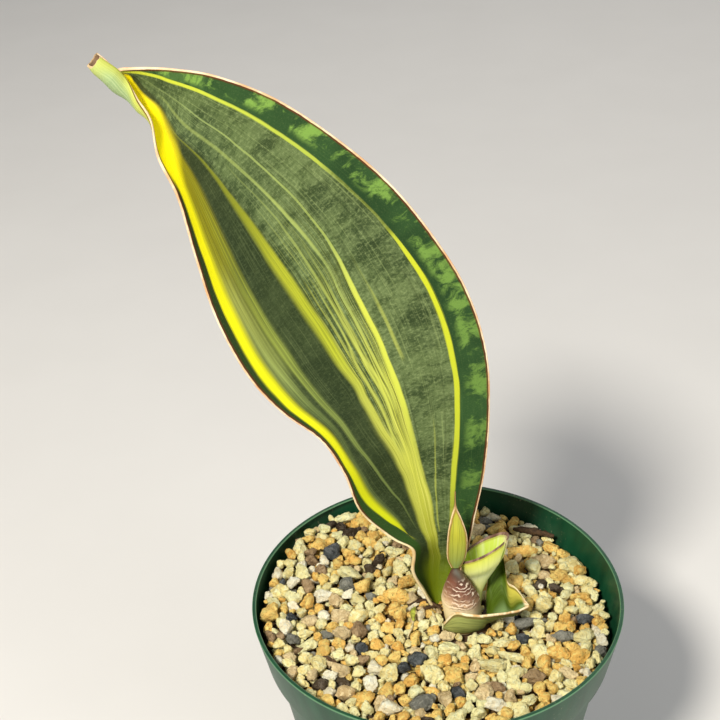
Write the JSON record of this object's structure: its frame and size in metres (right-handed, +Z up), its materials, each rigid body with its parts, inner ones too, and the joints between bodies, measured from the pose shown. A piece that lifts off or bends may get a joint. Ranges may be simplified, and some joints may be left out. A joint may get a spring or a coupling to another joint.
{
  "type": "potted whale fin snake plant",
  "caption": "Broad mottled leaf rolled to a tube at its tip, with short sheath leaves round a ringed knob, in a tapered nursery pot filled with grit.",
  "frame": {"origin": "centre of the pot's flat base, on the surface that it stands on", "axes": "+Z up along the pot's axis, +X to the right of the leaf seen from its inner face, -Y towards a viewer of that face; the leaf leans to -X"},
  "size_m": [0.1891, 0.15, 0.3514],
  "materials": {
    "pot": "thin dark green moulded plastic, satin gloss, a little dusty",
    "substrate": "loose mineral grit, matt, pale yellow, orange, grey, brown and white grains",
    "rhizome": "ringed natural skin, brown at its top and cream at its foot",
    "main_leaf": "thick succulent leaf, satin, dark green with yellow stripes and pale mottling, cream and red-brown margin",
    "cataphyll": "young sheath leaf, satin, yellow-green with olive veins and cream margins",
    "rolled_leaf": "young rolled leaf, satin, yellow-green to cream, with a dried mauve-brown rim",
    "lower_sheath": "dry-edged sheath, satin, yellow-green with dark lines outside, dark green inside, cream rim"
  },
  "bodies": {
    "root": {"pot": "pot", "substrate": "substrate", "rhizome": "rhizome", "main_leaf": "main_leaf", "cataphyll": "cataphyll", "rolled_leaf": "rolled_leaf", "lower_sheath": "lower_sheath"}
  },
  "joints": []
}
